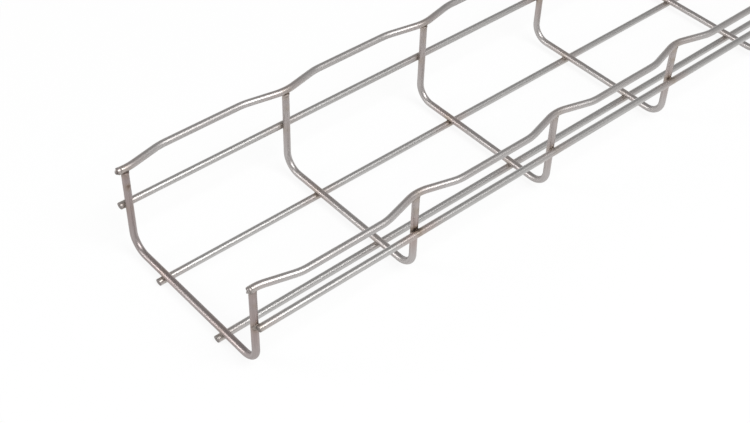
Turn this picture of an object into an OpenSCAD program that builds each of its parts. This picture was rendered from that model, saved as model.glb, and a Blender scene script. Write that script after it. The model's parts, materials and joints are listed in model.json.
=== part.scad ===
// Wire mesh cable basket: one straight stock length of U-shaped tray in welded round wire.
// Millimetres. X runs along the tray, Y across it and Z up. The origin is under the middle
// of the tray, on the surface that the bottom wires lie on.

/* [Wire] */
// Diameter of every wire
wire_d = 4; // [3:0.5:6]
// How deep two wires are pressed into each other where they are welded
weld_sink = 0.6; // [0.3:0.1:0.9]

/* [Tray] */
// Clear width between the walls
inside_w = 100; // [80:10:200]
// Height from under the bottom wires to the top of the edge wires
overall_h = 60; // [54:2:110]
// Inside radius of the bends between the floor and the walls
bend_inside_r = 8; // [6:1:12]
// Distance from one cross wire to the next
pitch = 100; // [75:5:150]
// How many cross wires the length has
cross_count = 21; // [3:1:31]

/* [Long wires] */
// Distance between the two bottom wires
bottom_spacing = 50; // [30:5:60]
// Height of the side wires' centres
side_h = 33; // [28:1:44]

/* [Edge wires] */
// How far outside the cross wires' cut ends the edge wires are centred
edge_offset = 0.5; // [0:0.1:1]
// How far the edge wires swing out between two cross wires
wave_out = 5.2; // [4:0.2:8]
// How much the swing leans down
wave_lean = 9; // [0:1:15]
// Steepest angle between the wave and the tray's length
wave_angle = 14; // [12:1:20]
// Centreline radius of the wave where it passes over a cross wire
dip_r = 25; // [15:1:30]
// Centreline radius of the wave where it turns into its straight stretch
crest_r = 30; // [15:1:40]

/* [Cut ends] */
// How far the bottom wires run past the end cross wires' centres
bottom_stub = 4.5; // [4:0.5:20]
// How far the left side wire runs past them
side_left_stub = 4; // [1:0.5:20]
// How far the right side wire runs past them
side_right_stub = 0.5; // [0.5:0.5:20]
// How far the left edge wire runs past them
edge_left_stub = 3.5; // [1:0.5:4]
// How far the right edge wire runs past them
edge_right_stub = 2.5; // [1:0.5:4]

/* [Hidden] */
$fn = 48;
wire_r = wire_d / 2;
// Distance between the centres of two wires that are welded one on the other
weld_gap = wire_d - weld_sink;
// Cross wires: the floor part's height, the walls' place and the centreline bend
floor_z = wire_r + weld_gap;
wall_y = inside_w / 2 + wire_r;
bend_r = bend_inside_r + wire_r;
// Edge wires: their height, and that of the cross wires' cut ends under them
edge_z = overall_h - wire_r;
wall_top_z = edge_z - wire_r + weld_sink;
// The end cross wires lie this far from the middle of the tray
end_x = (cross_count - 1) * pitch / 2;

// One wave in plan: its dip ends at dip_end from the cross wire, a straight flank follows,
// and the crest's bend takes crest_turn more, up to wave_run from the cross wire
dip_end = [dip_r * sin(wave_angle), dip_r * (1 - cos(wave_angle))];
crest_turn = [crest_r * sin(wave_angle), crest_r * (1 - cos(wave_angle))];
flank_rise = wave_out - dip_end.y - crest_turn.y;
wave_run = dip_end.x + flank_rise / tan(wave_angle) + crest_turn.x;
// Facets round an edge wire, along the bend of a dip and along each bend beside a crest
wave_sides = 12;
dip_steps = 4;
crest_steps = 2;

function two_digits(n) = n < 10 ? str("0", n) : str(n);
function cross_name(i) = str("cross_wire_", two_digits(i + 1));
function cross_x(i) = i * pitch - end_x;

LONG_NODES = [
    "bottom_wire_left", "bottom_wire_right",
    "side_wire_left", "side_wire_right",
    "edge_wire_left", "edge_wire_right"
];

// A straight wire along X, from x = start to x = end
module rod_x(start, end) {
    translate([start, 0, 0])
        rotate([0, 90, 0])
            cylinder(d = wire_d, h = end - start);
}

// A bent wire in the XY plane, round the origin from one angle through a turn
module arc(r, from, turn) {
    rotate([0, 0, from])
        rotate_extrude(angle = turn)
            translate([r, 0])
                circle(d = wire_d);
}

// The straight part of a cross wire under the cables
module floor_bar() {
    half = wall_y - bend_r;
    translate([0, half, floor_z])
        rotate([90, 0, 0])
            cylinder(d = wire_d, h = 2 * half);
}

// The straight part of a cross wire in the left wall, up to its cut end
module wall_bar() {
    foot_z = floor_z + bend_r;
    translate([0, wall_y, foot_z])
        cylinder(d = wire_d, h = wall_top_z - foot_z);
}

// Puts a wave, drawn in plan from a dip at the origin, on the left wall's cut ends
module on_wall() {
    translate([0, wall_y + edge_offset, edge_z])
        rotate([-wave_lean, 0, 0])
            children();
}

// The bend of a cross wire between the floor and the left wall
module corner_bend() {
    translate([0, wall_y - bend_r, floor_z + bend_r])
        rotate([90, 0, 90])
            arc(bend_r, -90, 90);
}

// A cross wire is one wire bent into a U. Its cut ends fit round the edge wires.
module cross_wire(i) {
    color("darkgray")
        translate([cross_x(i), 0, 0]) {
            floor_bar();
            for (side = [0, 1])
                mirror([0, side, 0]) {
                    corner_bend();
                    difference() {
                        wall_bar();
                        on_wall()
                            translate([0, dip_r, 0])
                                arc(dip_r, -90 - wave_angle, 2 * wave_angle);
                    }
                }
        }
}

// Cuts seats in what it holds, where every cross wire's straight part lies in it
module seat_on_cross_wires() {
    difference() {
        children(0);
        for (i = [0 : cross_count - 1])
            translate([cross_x(i), 0, 0])
                children(1);
    }
}

// A straight wire under the floor, on the left
module bottom_wire() {
    color("darkgray")
        seat_on_cross_wires() {
            translate([0, bottom_spacing / 2, wire_r])
                rod_x(-end_x - bottom_stub, end_x + bottom_stub);
            floor_bar();
        }
}

// A straight wire on the outside of the left wall
module side_wire(stub) {
    color("darkgray")
        seat_on_cross_wires() {
            translate([0, wall_y + weld_gap, side_h])
                rod_x(-end_x - stub, end_x + stub);
            wall_bar();
        }
}

// The edge wire's centreline in plan, as [x, y, heading] for each ring of its surface.
// A bend is met at equal steps of its heading, from one angle to another.
function headings(from, to, steps) = [for (k = [0 : steps]) from + (to - from) * k / steps];
function dip_bend(x, from, to) = [
    for (a = headings(from, to, dip_steps))
        [x + dip_r * sin(a), dip_r * (1 - cos(a)), a]
];
function crest_bend(x, from, to) = [
    for (a = headings(from, to, crest_steps))
        [x - crest_r * sin(a), wave_out - crest_r * (1 - cos(a)), a]
];
function edge_path(stub_angle) = [
    for (i = [0 : cross_count - 1])
        let (first = i == 0, last = i == cross_count - 1)
            each concat(
                first ? [] : crest_bend(cross_x(i) - wave_run, 0, -wave_angle),
                dip_bend(
                    cross_x(i),
                    first ? -stub_angle : -wave_angle,
                    last ? stub_angle : wave_angle
                ),
                last ? [] : crest_bend(cross_x(i) + wave_run, wave_angle, 0)
            )
];

// The points of one ring, square to the centreline
function ring(p) = [
    for (k = [0 : wave_sides - 1])
        let (side = wire_r * cos(360 * k / wave_sides), up = wire_r * sin(360 * k / wave_sides))
            [p.x - side * sin(p.z), p.y + side * cos(p.z), up]
];

// The wavy wire welded on top of the left wall's cut ends. Its own ends follow the last
// dips a little past the end cross wires.
module edge_wire(stub) {
    path = edge_path(asin(stub / dip_r));
    last = len(path) - 1;
    color("darkgray")
        on_wall()
            polyhedron(
                points = [for (p = path) each ring(p)],
                faces = concat(
                    [[for (k = [0 : wave_sides - 1]) k]],
                    [for (j = [0 : last - 1], k = [0 : wave_sides - 1])
                        let (here = j * wave_sides, next = here + wave_sides, l = (k + 1) % wave_sides)
                            [here + k, next + k, next + l, here + l]],
                    [[for (k = [wave_sides - 1 : -1 : 0]) last * wave_sides + k]]
                )
            );
}

for (i = [0 : cross_count - 1])
    cross_wire(i);
bottom_wire();  // bottom_wire_left
mirror([0, 1, 0]) bottom_wire();  // bottom_wire_right
side_wire(side_left_stub);  // side_wire_left
mirror([0, 1, 0]) side_wire(side_right_stub);  // side_wire_right
edge_wire(edge_left_stub);  // edge_wire_left
mirror([0, 1, 0]) edge_wire(edge_right_stub);  // edge_wire_right
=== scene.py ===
"""The looks of the wire mesh cable basket: drawn stainless wire, its welds and a plain studio.

Metres. X runs along the tray, Y across it and Z up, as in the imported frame.
"""

import json
import math
import random

import bpy
from mathutils import Euler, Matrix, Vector


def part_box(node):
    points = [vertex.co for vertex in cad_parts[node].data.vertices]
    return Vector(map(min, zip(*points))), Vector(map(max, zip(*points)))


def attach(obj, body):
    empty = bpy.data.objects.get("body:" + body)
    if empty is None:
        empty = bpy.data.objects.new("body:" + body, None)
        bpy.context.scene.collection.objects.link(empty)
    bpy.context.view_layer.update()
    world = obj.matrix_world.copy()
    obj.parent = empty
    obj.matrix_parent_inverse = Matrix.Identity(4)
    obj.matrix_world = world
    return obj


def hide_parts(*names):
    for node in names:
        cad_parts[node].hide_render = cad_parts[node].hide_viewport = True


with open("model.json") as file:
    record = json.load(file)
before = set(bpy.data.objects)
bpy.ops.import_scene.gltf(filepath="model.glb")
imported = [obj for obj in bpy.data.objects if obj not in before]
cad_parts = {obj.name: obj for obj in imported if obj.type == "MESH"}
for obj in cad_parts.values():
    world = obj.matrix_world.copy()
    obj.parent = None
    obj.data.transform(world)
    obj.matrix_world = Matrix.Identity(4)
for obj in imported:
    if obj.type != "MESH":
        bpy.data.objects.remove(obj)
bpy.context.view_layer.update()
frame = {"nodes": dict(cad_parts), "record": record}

MM = 0.001

# ---------------------------------------------------------------- sizes read from the frame

CROSS_NODES = sorted(name for name in frame["nodes"] if name.startswith("cross_wire_"))
SIDES = {"left": 1, "right": -1}


def middle(node):
    """The middle of a node's box."""
    low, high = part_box(node)
    return (low + high) / 2


bottom_low, bottom_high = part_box("bottom_wire_left")
first_low, first_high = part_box(CROSS_NODES[0])
edge_low, edge_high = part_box("edge_wire_left")

WIRE_D = bottom_high.z - bottom_low.z
WIRE_R = WIRE_D / 2
FLOOR_Z = first_low.z + WIRE_R
WALL_Y = first_high.y - WIRE_R
WALL_TOP = first_high.z
BOTTOM_Y = middle("bottom_wire_left").y
BOTTOM_Z = middle("bottom_wire_left").z
SIDE_Y = middle("side_wire_left").y
SIDE_Z = middle("side_wire_left").z
CROSS_X = [middle(node).x for node in CROSS_NODES]
PITCH = CROSS_X[1] - CROSS_X[0]
WELD_SINK = WIRE_D - (FLOOR_Z - BOTTOM_Z)
EDGE_Z = WALL_TOP + WIRE_R - WELD_SINK

# The bends, which a box doesn't tell
BEND_R = 10 * MM
WAVE_LEAN = math.radians(9)
WAVE_ANGLE = math.radians(14)
DIP_R = 25 * MM
CREST_R = 30 * MM
EDGE_Y = edge_low.y + WIRE_R * math.cos(WAVE_LEAN)
WAVE_OUT = (edge_high.y - edge_low.y) / math.cos(WAVE_LEAN) - WIRE_D

# ---------------------------------------------------------------- node helpers


def add(tree, kind, values=None, **settings):
    """Adds a node. The values are sockets or constants, by the socket's name or number."""
    node = tree.nodes.new(kind)
    for key, value in settings.items():
        setattr(node, key, value)
    for key, value in (values or {}).items():
        if isinstance(value, bpy.types.NodeSocket):
            tree.links.new(value, node.inputs[key])
        else:
            node.inputs[key].default_value = value
    return node


def calc(tree, operation, *values):
    """A Math node's result."""
    return add(tree, "ShaderNodeMath", dict(enumerate(values)), operation=operation).outputs[0]


def vector_calc(tree, operation, *values):
    """A Vector Math node's result: a value for lengths, otherwise a vector."""
    node = add(tree, "ShaderNodeVectorMath", dict(enumerate(values)), operation=operation)
    return node.outputs["Value" if operation in ("LENGTH", "DISTANCE", "DOT_PRODUCT") else "Vector"]


def vector(tree, x, y, z):
    return add(tree, "ShaderNodeCombineXYZ", {"X": x, "Y": y, "Z": z}).outputs[0]


def split(tree, value):
    """The three parts of a vector."""
    return add(tree, "ShaderNodeSeparateXYZ", {0: value}).outputs


def ramp(tree, value, start, end, low=0.0, high=1.0):
    """Low before start, high after end, and a smooth rise between them."""
    sockets = {"Value": value, "From Min": start, "From Max": end, "To Min": low, "To Max": high}
    return add(tree, "ShaderNodeMapRange", sockets, interpolation_type="SMOOTHSTEP").outputs[0]


def blended(tree, share, first, second, blend_type="MIX"):
    """Two colours mixed."""
    node = add(tree, "ShaderNodeMix", data_type="RGBA", blend_type=blend_type)
    for socket, value in zip([s for s in node.inputs if s.enabled], (share, first, second)):
        if isinstance(value, bpy.types.NodeSocket):
            tree.links.new(value, socket)
        else:
            socket.default_value = value
    return next(s for s in node.outputs if s.enabled)


def noise(tree, place, seed, size, detail=2.0, roughness=0.5):
    """Noise from 0 to 1 whose lumps are about size across, in metres."""
    node = add(
        tree,
        "ShaderNodeTexNoise",
        {"Vector": place, "W": seed, "Scale": 1 / size, "Detail": detail, "Roughness": roughness},
        noise_dimensions="4D",
    )
    return node.outputs["Fac"]


def new_group(kind, name, inputs, outputs):
    """An empty node group with named sockets: the tree, its inputs and its output node."""
    tree = bpy.data.node_groups.new(name, kind)
    for title, socket_type in inputs:
        tree.interface.new_socket(title, in_out="INPUT", socket_type=socket_type)
    for title, socket_type in outputs:
        tree.interface.new_socket(title, in_out="OUTPUT", socket_type=socket_type)
    return tree, tree.nodes.new("NodeGroupInput").outputs, tree.nodes.new("NodeGroupOutput")


FLOAT = "NodeSocketFloat"
VECTOR = "NodeSocketVector"
GEOMETRY = "NodeSocketGeometry"
MATERIAL = "NodeSocketMaterial"
INTEGER = "NodeSocketInt"

# ---------------------------------------------------------------- steel


def drawn_grain_group():
    """The marks that drawing leaves: streaks along the wire, cloudy patches and fine grain."""
    tree, given, result = new_group(
        "ShaderNodeTree",
        "drawn_grain",
        [("Place", VECTOR), ("Seed", FLOAT)],
        [("Streaks", FLOAT), ("Clouds", FLOAT), ("Grain", FLOAT)],
    )
    long_place = vector_calc(tree, "MULTIPLY", given["Place"], (1.0, 1.0, 0.035))
    patch_place = vector_calc(tree, "MULTIPLY", given["Place"], (1.0, 1.0, 0.3))
    values = {
        "Streaks": noise(tree, long_place, given["Seed"], 0.7 * MM, 3.0, 0.6),
        "Clouds": noise(tree, patch_place, given["Seed"], 3.5 * MM, 3.0, 0.55),
        "Grain": noise(tree, patch_place, given["Seed"], 0.35 * MM, 2.0, 0.6),
    }
    for name, value in values.items():
        tree.links.new(value, result.inputs[name])
    return tree


def weld_heat_group():
    """Masks round the welds: burnt metal and painted shade in the crease at the joint, a brown halo
    and a wide faint tint.
    """
    tree, given, result = new_group(
        "ShaderNodeTree",
        "weld_heat",
        [("Position", VECTOR)],
        [("Burn and crease shade", FLOAT), ("Halo", FLOAT), ("Warmth", FLOAT)],
    )
    x, y, z = split(tree, given["Position"])
    bay = calc(tree, "DIVIDE", calc(tree, "SUBTRACT", x, CROSS_X[0]), PITCH)
    number = calc(tree, "ROUND", bay)
    off_x = calc(tree, "MULTIPLY", calc(tree, "SUBTRACT", bay, number), PITCH)
    out_y = calc(tree, "ABSOLUTE", y)
    near = vector(tree, off_x, out_y, z)
    rough_edge = noise(tree, given["Position"], 3.0, 2.0 * MM, 2.0, 0.6)
    ragged = calc(tree, "MULTIPLY_ADD", rough_edge, RAGGED, -RAGGED / 2)
    # The burn mask is partly burnt metal and partly painted shade in the crease where the wires meet
    masks = {"Burn and crease shade": None, "Halo": None, "Warmth": None}
    reach = {"Burn and crease shade": (1.5 * MM, 2.7 * MM), "Halo": (2.2 * MM, 5.5 * MM), "Warmth": (5 * MM, 20 * MM)}
    for kind, (centre_y, centre_z, most) in enumerate(WELD_PLACES):
        span = vector_calc(tree, "DISTANCE", near, (0.0, centre_y, centre_z))
        span = calc(tree, "ADD", span, ragged)
        key = vector(tree, number, calc(tree, "SIGN", y), float(kind))
        chance = add(tree, "ShaderNodeTexWhiteNoise", {"Vector": key}).outputs["Value"]
        strength = calc(tree, "MULTIPLY_ADD", chance, 0.7 * most, 0.3 * most)
        for name, (start, end) in reach.items():
            mask = calc(tree, "MULTIPLY", ramp(tree, span, start, end, 1.0, 0.0), strength)
            masks[name] = mask if masks[name] is None else calc(tree, "MAXIMUM", masks[name], mask)
    # The electrode's print: inside the left walls and outside the right ones
    side = calc(tree, "SIGN", y)
    faced = vector(tree, off_x, calc(tree, "MULTIPLY_ADD", side, WIRE_R, out_y), z)
    span = vector_calc(tree, "DISTANCE", faced, (0.0, WALL_Y, WALL_TOP - PRINT_DROP))
    span = calc(tree, "ADD", span, ragged)
    key = vector(tree, number, side, PRINT_DRAW)
    chance = add(tree, "ShaderNodeTexWhiteNoise", {"Vector": key}).outputs["Value"]
    print_mark = calc(tree, "MULTIPLY", ramp(tree, span, 0.0, PRINT_REACH, 1.0, 0.0), chance)
    masks["Halo"] = calc(tree, "MAXIMUM", masks["Halo"], print_mark)
    for name, mask in masks.items():
        tree.links.new(mask, result.inputs[name])
    return tree


# The three rows of welds on either side: distance from the middle, height, and how burnt the worst of
# them are, which also sets how dark their painted crease shade is
WELD_PLACES = [
    (BOTTOM_Y, BOTTOM_Z + WIRE_R - WELD_SINK / 2, 0.7),
    (SIDE_Y - WIRE_R + WELD_SINK / 2, SIDE_Z, 1.0),
    ((WALL_Y + EDGE_Y) / 2, WALL_TOP, 0.5),
]
# How far under the walls' tops the electrodes pressed, and the draw that says how hard
PRINT_DROP = 9 * MM
PRINT_DRAW = 7.0
PRINT_REACH = 3.6 * MM
# How far the heat marks' borders wander, from the innermost to the outermost
RAGGED = 3.6 * MM
DRAWN_GRAIN = drawn_grain_group()
WELD_HEAT = weld_heat_group()

STRAW = (0.36, 0.295, 0.215, 1.0)
BROWN = (0.15, 0.105, 0.085, 1.0)
# Near black for the burnt joints, which also paints the shade in the creases between the wires
SOOT_AND_CREASE_SHADE = (0.045, 0.038, 0.034, 1.0)
ROSY = (0.95, 0.84, 0.81, 1.0)
SHEARED = (0.2, 0.175, 0.165, 1.0)


def drawn_steel(slot, seed, roughness, burn_and_shade):
    """Dull drawn steel wire, coloured by heat where it is welded, with painted shade in the weld
    creases.
    """
    colour = next(m for m in frame["record"]["materials"] if m["slot"] == slot)["base_color"]
    material = bpy.data.materials.new(slot)
    material.use_nodes = True
    tree = material.node_tree
    shader = tree.nodes["Principled BSDF"]
    place = add(tree, "ShaderNodeAttribute", attribute_name="wire_place").outputs["Vector"]
    position = add(tree, "ShaderNodeTexCoord").outputs["Object"]
    grain = add(tree, "ShaderNodeGroup", node_tree=DRAWN_GRAIN)
    tree.links.new(place, grain.inputs["Place"])
    grain.inputs["Seed"].default_value = seed
    heat = add(tree, "ShaderNodeGroup", node_tree=WELD_HEAT)
    tree.links.new(position, heat.inputs["Position"])

    bright = (*(min(1.0, 1.1 * c) for c in colour[:3]), 1.0)
    dull = (*(0.88 * c for c in colour[:3]), 1.0)
    streaks = ramp(tree, grain.outputs["Streaks"], 0.3, 0.7)
    clouds = ramp(tree, grain.outputs["Clouds"], 0.35, 0.65)
    steel = blended(tree, streaks, dull, bright)
    steel = blended(tree, calc(tree, "MULTIPLY", clouds, 0.25), steel, dull)
    steel = blended(tree, heat.outputs["Warmth"], steel, ROSY, "MULTIPLY")
    steel = blended(tree, calc(tree, "MULTIPLY", heat.outputs["Halo"], 0.75 * burn_and_shade), steel, STRAW)
    browned = ramp(tree, heat.outputs["Halo"], 0.45, 1.0, 0.0, 0.8 * burn_and_shade)
    steel = blended(tree, browned, steel, BROWN)
    # Soot at the joints: partly burnt metal, partly painted shade in the creases between the wires
    steel = blended(tree, calc(tree, "MULTIPLY", heat.outputs["Burn and crease shade"], 0.85 * burn_and_shade), steel, SOOT_AND_CREASE_SHADE)
    shade = add(tree, "ShaderNodeAttribute", attribute_name="wire_shade").outputs["Fac"]
    red_shade = calc(tree, "POWER", shade, 0.75)
    steel = blended(tree, 1.0, steel, vector(tree, red_shade, shade, shade), "MULTIPLY")
    sheared = add(tree, "ShaderNodeAttribute", attribute_name="wire_end").outputs["Fac"]
    steel = blended(tree, calc(tree, "MULTIPLY", sheared, 0.8), steel, SHEARED)
    tree.links.new(steel, shader.inputs["Base Color"])

    rough = calc(tree, "MULTIPLY_ADD", streaks, -0.08, roughness + 0.04)
    rough = calc(tree, "MULTIPLY_ADD", grain.outputs["Grain"], 0.06, rough)
    rough = calc(tree, "MULTIPLY_ADD", heat.outputs["Burn and crease shade"], 0.2, rough)
    rough = calc(tree, "MULTIPLY_ADD", sheared, 0.2, rough)
    tree.links.new(rough, shader.inputs["Roughness"])
    shader.inputs["Metallic"].default_value = 1.0

    relief = calc(tree, "MULTIPLY_ADD", grain.outputs["Grain"], 0.15, grain.outputs["Streaks"])
    bump = add(tree, "ShaderNodeBump", {"Strength": 0.2, "Distance": 0.015 * MM, "Height": relief})
    tree.links.new(bump.outputs["Normal"], shader.inputs["Normal"])
    return material


CROSS_STEEL = drawn_steel("cross_wire_steel", 1.7, 0.40, 1.0)
LONG_STEEL = drawn_steel("long_wire_steel", 5.3, 0.36, 0.9)
EDGE_STEEL = drawn_steel("edge_wire_steel", 9.1, 0.38, 0.8)

# ---------------------------------------------------------------- wires


def wire_tree():
    """A round wire along a path, with rounded cut ends that may be swollen and slanted."""
    tree, given, result = new_group(
        "GeometryNodeTree",
        "wire_along_path",
        [
            ("Path", GEOMETRY),
            ("Radius", FLOAT),
            ("Sides", INTEGER),
            ("Rim", FLOAT),
            ("Swelling", FLOAT),
            ("Slant", FLOAT),
            ("Shade", FLOAT),
            ("End dullness", FLOAT),
            ("Steel", MATERIAL),
        ],
        [("Wire", GEOMETRY)],
    )
    path = add(tree, "GeometryNodeMeshToCurve", {"Mesh": given["Path"]}).outputs["Curve"]
    along = add(tree, "GeometryNodeSplineParameter").outputs["Length"]
    whole = add(tree, "GeometryNodeSplineLength").outputs["Length"]
    from_end = calc(tree, "MINIMUM", along, calc(tree, "SUBTRACT", whole, along))
    tangent = add(tree, "GeometryNodeInputTangent").outputs["Tangent"]
    caught = add(tree, "GeometryNodeCaptureAttribute", {"Geometry": path})
    for kind, name, value in (
        ("FLOAT", "Along", along),
        ("FLOAT", "From end", from_end),
        ("VECTOR", "Tangent", tangent),
    ):
        caught.capture_items.new(kind, name)
        tree.links.new(value, caught.inputs[name])

    circle = add(
        tree, "GeometryNodeCurvePrimitiveCircle", {"Resolution": given["Sides"], "Radius": 1.0}
    )
    ring = add(tree, "GeometryNodeCaptureAttribute", {"Geometry": circle.outputs["Curve"]})
    ring.capture_items.new("VECTOR", "Ring")
    tree.links.new(add(tree, "GeometryNodeInputPosition").outputs[0], ring.inputs["Ring"])

    # The rim is a quarter circle, and the swelling a bulge behind it
    inward = calc(tree, "SUBTRACT", 1.0, calc(tree, "DIVIDE", from_end, given["Rim"]))
    inward = calc(tree, "MAXIMUM", inward, 0.0)
    fall = calc(tree, "SUBTRACT", 1.0, calc(tree, "MULTIPLY", inward, inward))
    fall = calc(tree, "SUBTRACT", 1.0, calc(tree, "SQRT", fall))
    width = calc(tree, "SUBTRACT", given["Radius"], calc(tree, "MULTIPLY", fall, given["Rim"]))
    bulge = ramp(tree, from_end, given["Radius"], 0.0)
    width = calc(tree, "MULTIPLY_ADD", bulge, given["Swelling"], width)
    swept = add(
        tree,
        "GeometryNodeCurveToMesh",
        {
            "Curve": caught.outputs["Geometry"],
            "Profile Curve": ring.outputs["Geometry"],
            "Scale": width,
            "Fill Caps": True,
        },
    ).outputs["Mesh"]

    ring_x, ring_y, _ = split(tree, ring.outputs["Ring"])
    lag = calc(tree, "MULTIPLY", ring_y, ramp(tree, caught.outputs["From end"], 0.0, WIRE_R, 1.0, 0.0))
    lag = calc(tree, "MULTIPLY", lag, given["Slant"])
    shift = add(
        tree,
        "ShaderNodeVectorMath",
        {0: caught.outputs["Tangent"], "Scale": lag},
        operation="SCALE",
    ).outputs["Vector"]
    cut = add(tree, "GeometryNodeSetPosition", {"Geometry": swept, "Offset": shift}).outputs[0]

    place = vector(
        tree,
        calc(tree, "MULTIPLY", ring_x, given["Radius"]),
        calc(tree, "MULTIPLY", ring_y, given["Radius"]),
        caught.outputs["Along"],
    )
    marked = stored(tree, cut, "wire_place", "FLOAT_VECTOR", place)
    dull_reach = calc(tree, "MULTIPLY", given["Rim"], 2.0)
    sheared = ramp(tree, caught.outputs["From end"], 0.0, dull_reach, 1.0, 0.0)
    sheared = calc(tree, "MULTIPLY", sheared, given["End dullness"])
    shaded = stored(tree, marked, "wire_shade", "FLOAT", given["Shade"])
    shaded = stored(tree, shaded, "wire_end", "FLOAT", sheared)
    corners = add(tree, "GeometryNodeInputMeshFaceNeighbors").outputs["Vertex Count"]
    smooth = add(
        tree,
        "GeometryNodeSetShadeSmooth",
        {"Geometry": shaded, "Shade Smooth": calc(tree, "LESS_THAN", corners, 5.0)},
    ).outputs["Geometry"]
    finish(tree, smooth, given["Steel"], result)
    return tree


def stored(tree, geometry, name, data_type, value):
    """The geometry with a named attribute on its points."""
    return add(
        tree,
        "GeometryNodeStoreNamedAttribute",
        {"Geometry": geometry, "Name": name, "Value": value},
        data_type=data_type,
        domain="POINT",
    ).outputs["Geometry"]


def finish(tree, geometry, steel, result):
    """Ends a tree: real meshes with their material."""
    real = add(tree, "GeometryNodeRealizeInstances", {"Geometry": geometry}).outputs["Geometry"]
    dressed = add(tree, "GeometryNodeSetMaterial", {"Geometry": real, "Material": steel})
    tree.links.new(dressed.outputs["Geometry"], result.inputs[0])


def grown(name, points, edges, tree, values):
    """The plain mesh object that a tree makes from points and edges."""
    seed_mesh = bpy.data.meshes.new(name + "_path")
    seed_mesh.from_pydata(points, edges, [])
    seed = bpy.data.objects.new(name + "_path", seed_mesh)
    bpy.context.scene.collection.objects.link(seed)
    modifier = seed.modifiers.new("grow", "NODES")
    modifier.node_group = tree
    for item in tree.interface.items_tree:
        if item.in_out == "INPUT" and item.name in values:
            modifier[item.identifier] = values[item.name]
    depsgraph = bpy.context.evaluated_depsgraph_get()
    mesh = bpy.data.meshes.new_from_object(seed.evaluated_get(depsgraph), depsgraph=depsgraph)
    mesh.name = name
    seed.modifiers.remove(modifier)
    bpy.data.objects.remove(seed)
    bpy.data.meshes.remove(seed_mesh)
    piece = bpy.data.objects.new(name, mesh)
    bpy.context.scene.collection.objects.link(piece)
    return piece


def eased_ends(path):
    """The path with more points close to its two ends, where the rim is rounded."""
    steps = [RIM * share for share in (0.06, 0.2, 0.45, 1.0)] + [0.5 * WIRE_R, 0.8 * WIRE_R, WIRE_R]
    first, last = Vector(path[0]), Vector(path[-1])
    ahead = (Vector(path[1]) - first).normalized()
    behind = (Vector(path[-2]) - last).normalized()
    head = [first + ahead * step for step in steps]
    tail = [last + behind * step for step in reversed(steps)]
    return [first, *head, *path[1:-1], *tail, last]


def wire(node, path, steel, swelling=0.0, slant=0.0, shade=1.0, end_dullness=1.0):
    """One wire of the basket, in place of its CAD node."""
    path = eased_ends(path)
    values = {
        "Radius": WIRE_R,
        "Sides": WIRE_SIDES,
        "Rim": RIM,
        "Swelling": swelling,
        "Slant": slant,
        "Shade": shade,
        "End dullness": end_dullness,
        "Steel": steel,
    }
    edges = [(k, k + 1) for k in range(len(path) - 1)]
    piece = grown("steel_" + node, path, edges, WIRE_TREE, values)
    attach(piece, "root")
    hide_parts(node)


def arc(centre, radius, start, end, steps):
    """Points of an arc in a plane, as pairs, from one angle to another."""
    turns = [start + (end - start) * k / steps for k in range(steps + 1)]
    return [(centre[0] + radius * math.cos(a), centre[1] + radius * math.sin(a)) for a in turns]


def cross_path(x):
    """Down the left wall, across the floor and up the right wall."""
    quarter = math.pi / 2
    left = arc((WALL_Y - BEND_R, FLOOR_Z + BEND_R), BEND_R, 0, -quarter, BEND_STEPS)
    right = [(-y, z) for y, z in reversed(left)]
    outline = [(WALL_Y, WALL_TOP), *left, *right, (-WALL_Y, WALL_TOP)]
    return [Vector((x, y, z)) for y, z in outline]


def straight_path(node, y, z):
    low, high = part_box(node)
    return [Vector((low.x, y, z)), Vector((high.x, y, z))]


def wave_plan(start, end):
    """The edge wire's centreline in plan, from dip to dip, with its ends past the last ribs."""
    dip_end = DIP_R * math.sin(WAVE_ANGLE)
    dip_rise = DIP_R * (1 - math.cos(WAVE_ANGLE))
    turn = CREST_R * math.sin(WAVE_ANGLE)
    turn_rise = CREST_R * (1 - math.cos(WAVE_ANGLE))
    run = dip_end + (WAVE_OUT - dip_rise - turn_rise) / math.tan(WAVE_ANGLE) + turn
    top = math.pi / 2
    plan = []
    for x in CROSS_X:
        before = -math.asin((x - start) / DIP_R) if x == CROSS_X[0] else -WAVE_ANGLE
        after = math.asin((end - x) / DIP_R) if x == CROSS_X[-1] else WAVE_ANGLE
        if x != CROSS_X[0]:
            plan += arc((x - run, WAVE_OUT - CREST_R), CREST_R, top, top - WAVE_ANGLE, CREST_STEPS)
        plan += arc((x, DIP_R), DIP_R, before - top, after - top, DIP_STEPS)
        if x != CROSS_X[-1]:
            plan += arc((x + run, WAVE_OUT - CREST_R), CREST_R, top + WAVE_ANGLE, top, CREST_STEPS)
    return plan


def edge_path(node, side):
    """The wave, leaning outwards and down from the walls' tops."""
    low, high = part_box(node)
    return [
        Vector((x, side * (EDGE_Y + out * math.cos(WAVE_LEAN)), EDGE_Z - out * math.sin(WAVE_LEAN)))
        for x, out in wave_plan(low.x, high.x)
    ]


WIRE_SIDES = 28
RIM = 0.45 * MM
BEND_STEPS = 18
DIP_STEPS = 12
CREST_STEPS = 6
WIRE_TREE = wire_tree()

# The first cross wire is darker than the others, which differ a little
FIRST_SHADE = 0.72
SHADES = (0.92, 1.04)
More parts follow.
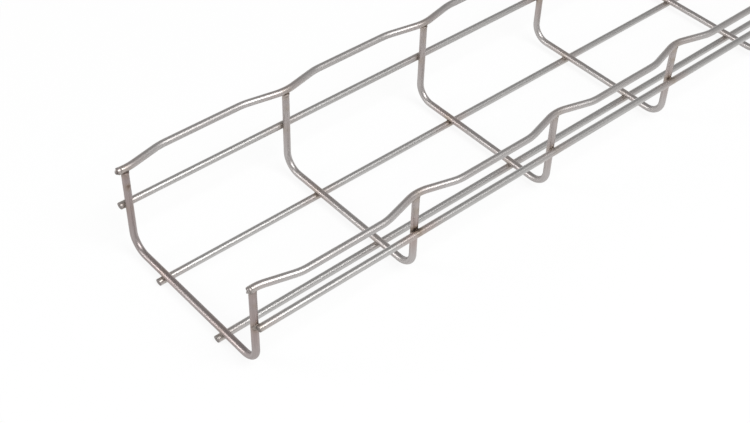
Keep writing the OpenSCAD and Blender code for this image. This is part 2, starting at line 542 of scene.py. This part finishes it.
# How far a cross wire's cut ends are swollen, and how far the long wires' are slanted
SWELLING = 0.22 * MM
SLANTS = {"bottom": 0.25 * MM, "side": 0.2 * MM, "edge": 0.3 * MM}
draw = random.Random(4)
for node, x in zip(CROSS_NODES, CROSS_X):
    shade = FIRST_SHADE if node == CROSS_NODES[0] else draw.uniform(*SHADES)
    wire(node, cross_path(x), CROSS_STEEL, swelling=SWELLING, shade=shade,
         end_dullness=0.0)
for name, side in SIDES.items():
    bottom, wall, edge = (kind + "_wire_" + name for kind in ("bottom", "side", "edge"))
    wire(bottom, straight_path(bottom, side * BOTTOM_Y, BOTTOM_Z), LONG_STEEL,
         slant=SLANTS["bottom"])
    wire(wall, straight_path(wall, side * SIDE_Y, SIDE_Z), LONG_STEEL,
         slant=SLANTS["side"])
    wire(edge, edge_path(edge, side), EDGE_STEEL, slant=SLANTS["edge"])

# ---------------------------------------------------------------- welds


def weld_tree():
    """Lumps of squeezed-out metal, one at each point, all turned alike."""
    tree, given, result = new_group(
        "GeometryNodeTree",
        "weld_lumps",
        [
            ("Points", GEOMETRY),
            ("Size", VECTOR),
            ("Saddle", FLOAT),
            ("Turn", VECTOR),
            ("Raggedness", FLOAT),
            ("Seed", INTEGER),
            ("Steel", MATERIAL),
        ],
        [("Welds", GEOMETRY)],
    )
    ball = add(tree, "GeometryNodeMeshIcoSphere", {"Radius": 1.0, "Subdivisions": 3}).outputs["Mesh"]
    flat = add(tree, "GeometryNodeTransform", {"Geometry": ball, "Scale": given["Size"]}).outputs[0]
    x, y, _ = split(tree, add(tree, "GeometryNodeInputPosition").outputs[0])
    bow = calc(tree, "SUBTRACT", calc(tree, "MULTIPLY", x, x), calc(tree, "MULTIPLY", y, y))
    lift = vector(tree, 0.0, 0.0, calc(tree, "MULTIPLY", bow, given["Saddle"]))
    lump = add(tree, "GeometryNodeSetPosition", {"Geometry": flat, "Offset": lift}).outputs[0]
    size = add(
        tree,
        "FunctionNodeRandomValue",
        {"Min": (0.88, 0.88, 0.85), "Max": (1.08, 1.08, 1.15), "Seed": given["Seed"]},
        data_type="FLOAT_VECTOR",
    ).outputs["Value"]
    turned = add(tree, "FunctionNodeEulerToRotation", {"Euler": given["Turn"]}).outputs[0]
    placed = add(
        tree,
        "GeometryNodeInstanceOnPoints",
        {"Points": given["Points"], "Instance": lump, "Rotation": turned, "Scale": size},
    ).outputs["Instances"]
    real = add(tree, "GeometryNodeRealizeInstances", {"Geometry": placed}).outputs["Geometry"]
    position = add(tree, "GeometryNodeInputPosition").outputs[0]
    rough = add(
        tree,
        "ShaderNodeTexNoise",
        {"Vector": position, "W": given["Seed"], "Scale": 1 / (1.3 * MM), "Detail": 2.0},
        noise_dimensions="4D",
    ).outputs["Color"]
    push = vector_calc(tree, "SUBTRACT", rough, (0.5, 0.5, 0.5))
    push = add(
        tree, "ShaderNodeVectorMath", {0: push, "Scale": given["Raggedness"]}, operation="SCALE"
    ).outputs["Vector"]
    ragged = add(tree, "GeometryNodeSetPosition", {"Geometry": real, "Offset": push}).outputs[0]
    marked = stored(tree, ragged, "wire_place", "FLOAT_VECTOR", position)
    shaded = stored(tree, marked, "wire_shade", "FLOAT", 1.0)
    smooth = add(tree, "GeometryNodeSetShadeSmooth", {"Geometry": shaded}).outputs["Geometry"]
    finish(tree, smooth, given["Steel"], result)
    return tree


def welds(name, y, z, turn, size, saddle, seed, steel):
    """One row of welds, at every cross wire."""
    values = {
        "Size": size,
        "Saddle": saddle,
        "Turn": turn,
        "Raggedness": 0.9 * MM,
        "Seed": seed,
        "Steel": steel,
    }
    points = [Vector((x, y, z)) for x in CROSS_X]
    piece = grown(name, points, [], WELD_TREE, values)
    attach(piece, "root")


WELD_TREE = weld_tree()
# A lump between two crossed wires bows along both of them
CROSSED = (2.0 * MM, 2.0 * MM, 0.75 * MM)
CROSSED_BOW = 1 / (4 * WIRE_R)
# A lump under the edge wire sags down round the wall's cut end
CAPPED = (2.45 * MM, 1.6 * MM, 0.85 * MM)
CAPPED_BOW = -0.5 / (4 * WIRE_R)
for seed, (name, side) in enumerate(SIDES.items()):
    (bottom_y, bottom_z, _), (side_y, side_z, _), (edge_y, edge_z, _) = WELD_PLACES
    outward = (side * math.pi / 2, 0.0, 0.0)
    welds("bottom_welds_" + name, side * bottom_y, bottom_z, (0.0, 0.0, 0.0), CROSSED, CROSSED_BOW,
          11 + seed, CROSS_STEEL)
    welds("side_welds_" + name, side * side_y, side_z, outward, CROSSED, CROSSED_BOW,
          21 + seed, CROSS_STEEL)
    welds("edge_welds_" + name, side * edge_y, edge_z, (0.0, 0.0, 0.0), CAPPED, CAPPED_BOW,
          31 + seed, CROSS_STEEL)

# ---------------------------------------------------------------- studio

FLOOR_SIZE = 60.0
WHITE = (0.9, 0.9, 0.9, 1.0)
# How much of the floor's white, as the eye and the steel see it, is free of shadow
GLOW = 0.88


def studio_floor():
    """A white floor that stays white to the eye and keeps the basket's shadow."""
    mesh = bpy.data.meshes.new("studio_floor")
    half = FLOOR_SIZE / 2
    corners = [(-half, -half, 0.0), (half, -half, 0.0), (half, half, 0.0), (-half, half, 0.0)]
    mesh.from_pydata(corners, [], [(0, 1, 2, 3)])
    floor = bpy.data.objects.new("studio_floor", mesh)
    bpy.context.scene.collection.objects.link(floor)
    material = bpy.data.materials.new("studio_white")
    material.use_nodes = True
    tree = material.node_tree
    shader = tree.nodes["Principled BSDF"]
    shader.inputs["Base Color"].default_value = WHITE
    shader.inputs["Roughness"].default_value = 0.9
    shader.inputs["Specular IOR Level"].default_value = 0.0
    rays = add(tree, "ShaderNodeLightPath").outputs
    seen = calc(tree, "MAXIMUM", rays["Is Camera Ray"], rays["Is Glossy Ray"])
    seen = calc(tree, "MAXIMUM", seen, rays["Is Transmission Ray"])
    glow = add(tree, "ShaderNodeEmission", {"Color": (1, 1, 1, 1), "Strength": 1.0})
    mixed = add(tree, "ShaderNodeMixShader", {
        0: calc(tree, "MULTIPLY", seen, GLOW),
        1: shader.outputs[0],
        2: glow.outputs[0],
    })
    output = tree.nodes["Material Output"]
    tree.links.new(mixed.outputs[0], output.inputs["Surface"])
    mesh.materials.append(material)


def softbox(name, centre, target, width, height, power):
    """A rectangular lamp that faces its target."""
    lamp = bpy.data.lights.new(name, "AREA")
    lamp.shape = "RECTANGLE"
    lamp.size = width
    lamp.size_y = height
    lamp.energy = power
    box = bpy.data.objects.new(name, lamp)
    box.location = centre
    facing = Vector(target) - Vector(centre)
    box.rotation_euler = facing.to_track_quat("-Z", "Y").to_euler()
    bpy.context.scene.collection.objects.link(box)


def studio_world():
    """A room that is pale at eye level and dim overhead."""
    world = bpy.data.worlds.new("studio_room")
    bpy.context.scene.world = world
    world.use_nodes = True
    tree = world.node_tree
    height = split(tree, add(tree, "ShaderNodeTexCoord").outputs["Generated"])[2]
    level = ramp(tree, height, 0.0, 0.45, 0.95, 0.42)
    tree.links.new(level, tree.nodes["Background"].inputs["Strength"])
    tree.nodes["Background"].inputs["Color"].default_value = (1, 1, 1, 1)


def studio_camera(offset, azimuth, elevation, roll, lens, shift):
    """A camera at an offset from the start end, looking down along the tray."""
    camera = bpy.data.cameras.new("studio_camera")
    camera.lens = lens
    camera.sensor_width = 36.0
    camera.shift_x = shift
    camera.clip_start = 0.01
    camera.clip_end = 100.0
    holder = bpy.data.objects.new("studio_camera", camera)
    bpy.context.scene.collection.objects.link(holder)
    holder.location = Vector((CROSS_X[0], 0.0, FLOOR_Z)) + Vector(offset)
    tilt = math.radians(90.0 - elevation)
    turn = Euler((tilt, 0.0, math.radians(azimuth))).to_matrix()
    spin = Euler((0.0, 0.0, math.radians(roll))).to_matrix()
    holder.rotation_euler = (turn @ spin).to_euler()
    bpy.context.scene.camera = holder


studio_floor()
studio_world()
START = Vector((CROSS_X[0], 0.0, 0.0))
KEY_PLACE = START + Vector((0.25, -1.3, 1.9))
KEY_TARGET = START + Vector((0.3, 0.0, 0.0))
FILL_PLACE = START + Vector((-1.6, 1.1, 1.0))
FILL_TARGET = START + Vector((0.2, 0.0, 0.0))
softbox("key_softbox", KEY_PLACE, KEY_TARGET, width=1.4, height=1.2, power=38)
softbox("fill_softbox", FILL_PLACE, FILL_TARGET, width=1.0, height=0.8, power=15)
studio_camera(
    offset=(-0.2293, -0.3875, 0.48056),
    azimuth=-45.559,
    elevation=43.088,
    roll=4.205,
    lens=62.04,
    shift=-0.0776,
)

bpy.context.scene.view_settings.view_transform = "Standard"
